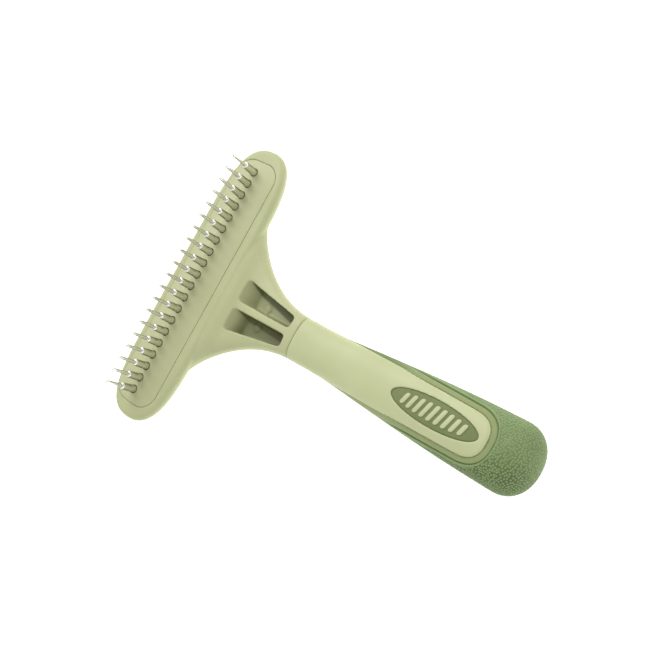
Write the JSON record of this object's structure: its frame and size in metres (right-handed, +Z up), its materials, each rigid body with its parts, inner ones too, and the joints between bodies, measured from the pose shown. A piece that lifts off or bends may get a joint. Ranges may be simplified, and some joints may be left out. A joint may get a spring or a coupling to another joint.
{
  "type": "dematting comb",
  "caption": "T-shaped pet dematting comb: a plastic head with a single row of stepped, free-turning steel pins on a soft-gripped handle.",
  "frame": {"origin": "under the middle of the tool's length, on the surface it lies on, pins up", "axes": "+X from the head to the end of the handle, +Y along the head, +Z up along the pins"},
  "size_m": [0.1584, 0.1162, 0.0261],
  "materials": {
    "head_plastic": "satin moulded",
    "handle_plastic": "satin moulded",
    "grip_rubber": "pebbled soft grip",
    "badge_rubber": "smooth matte",
    "pin_steel": "polished"
  },
  "bodies": {
    "tool": {"head_frame": "head_plastic", "pin_plate": "head_plastic", "handle_core": "handle_plastic", "rubber_grip": "grip_rubber", "badge_inlay": "badge_rubber", "tang_dowel": "pin_steel"},
    "turning_pin_01": {"pin_01": "pin_steel"},
    "turning_pin_02": {"pin_02": "pin_steel"},
    "turning_pin_03": {"pin_03": "pin_steel"},
    "turning_pin_04": {"pin_04": "pin_steel"},
    "turning_pin_05": {"pin_05": "pin_steel"},
    "turning_pin_06": {"pin_06": "pin_steel"},
    "turning_pin_07": {"pin_07": "pin_steel"},
    "turning_pin_08": {"pin_08": "pin_steel"},
    "turning_pin_09": {"pin_09": "pin_steel"},
    "turning_pin_10": {"pin_10": "pin_steel"},
    "turning_pin_11": {"pin_11": "pin_steel"},
    "turning_pin_12": {"pin_12": "pin_steel"},
    "turning_pin_13": {"pin_13": "pin_steel"},
    "turning_pin_14": {"pin_14": "pin_steel"},
    "turning_pin_15": {"pin_15": "pin_steel"},
    "turning_pin_16": {"pin_16": "pin_steel"},
    "turning_pin_17": {"pin_17": "pin_steel"},
    "turning_pin_18": {"pin_18": "pin_steel"},
    "turning_pin_19": {"pin_19": "pin_steel"},
    "turning_pin_20": {"pin_20": "pin_steel"}
  },
  "joints": [
    {"name": "pin_01_turn", "type": "hinge", "parent": "tool", "child": "turning_pin_01", "pos_m": [-0.0678, -0.0475, 0.0101], "axis": [0, 0, 1], "continuous": true},
    {"name": "pin_02_turn", "type": "hinge", "parent": "tool", "child": "turning_pin_02", "pos_m": [-0.0678, -0.0425, 0.0101], "axis": [0, 0, 1], "continuous": true},
    {"name": "pin_03_turn", "type": "hinge", "parent": "tool", "child": "turning_pin_03", "pos_m": [-0.0678, -0.0375, 0.0101], "axis": [0, 0, 1], "continuous": true},
    {"name": "pin_04_turn", "type": "hinge", "parent": "tool", "child": "turning_pin_04", "pos_m": [-0.0678, -0.0325, 0.0101], "axis": [0, 0, 1], "continuous": true},
    {"name": "pin_05_turn", "type": "hinge", "parent": "tool", "child": "turning_pin_05", "pos_m": [-0.0678, -0.0275, 0.0101], "axis": [0, 0, 1], "continuous": true},
    {"name": "pin_06_turn", "type": "hinge", "parent": "tool", "child": "turning_pin_06", "pos_m": [-0.0678, -0.0225, 0.0101], "axis": [0, 0, 1], "continuous": true},
    {"name": "pin_07_turn", "type": "hinge", "parent": "tool", "child": "turning_pin_07", "pos_m": [-0.0678, -0.0175, 0.0101], "axis": [0, 0, 1], "continuous": true},
    {"name": "pin_08_turn", "type": "hinge", "parent": "tool", "child": "turning_pin_08", "pos_m": [-0.0678, -0.0125, 0.0101], "axis": [0, 0, 1], "continuous": true},
    {"name": "pin_09_turn", "type": "hinge", "parent": "tool", "child": "turning_pin_09", "pos_m": [-0.0678, -0.0075, 0.0101], "axis": [0, 0, 1], "continuous": true},
    {"name": "pin_10_turn", "type": "hinge", "parent": "tool", "child": "turning_pin_10", "pos_m": [-0.0678, -0.0025, 0.0101], "axis": [0, 0, 1], "continuous": true},
    {"name": "pin_11_turn", "type": "hinge", "parent": "tool", "child": "turning_pin_11", "pos_m": [-0.0678, 0.0025, 0.0101], "axis": [0, 0, 1], "continuous": true},
    {"name": "pin_12_turn", "type": "hinge", "parent": "tool", "child": "turning_pin_12", "pos_m": [-0.0678, 0.0075, 0.0101], "axis": [0, 0, 1], "continuous": true},
    {"name": "pin_13_turn", "type": "hinge", "parent": "tool", "child": "turning_pin_13", "pos_m": [-0.0678, 0.0125, 0.0101], "axis": [0, 0, 1], "continuous": true},
    {"name": "pin_14_turn", "type": "hinge", "parent": "tool", "child": "turning_pin_14", "pos_m": [-0.0678, 0.0175, 0.0101], "axis": [0, 0, 1], "continuous": true},
    {"name": "pin_15_turn", "type": "hinge", "parent": "tool", "child": "turning_pin_15", "pos_m": [-0.0678, 0.0225, 0.0101], "axis": [0, 0, 1], "continuous": true},
    {"name": "pin_16_turn", "type": "hinge", "parent": "tool", "child": "turning_pin_16", "pos_m": [-0.0678, 0.0275, 0.0101], "axis": [0, 0, 1], "continuous": true},
    {"name": "pin_17_turn", "type": "hinge", "parent": "tool", "child": "turning_pin_17", "pos_m": [-0.0678, 0.0325, 0.0101], "axis": [0, 0, 1], "continuous": true},
    {"name": "pin_18_turn", "type": "hinge", "parent": "tool", "child": "turning_pin_18", "pos_m": [-0.0678, 0.0375, 0.0101], "axis": [0, 0, 1], "continuous": true},
    {"name": "pin_19_turn", "type": "hinge", "parent": "tool", "child": "turning_pin_19", "pos_m": [-0.0678, 0.0425, 0.0101], "axis": [0, 0, 1], "continuous": true},
    {"name": "pin_20_turn", "type": "hinge", "parent": "tool", "child": "turning_pin_20", "pos_m": [-0.0678, 0.0475, 0.0101], "axis": [0, 0, 1], "continuous": true}
  ]
}
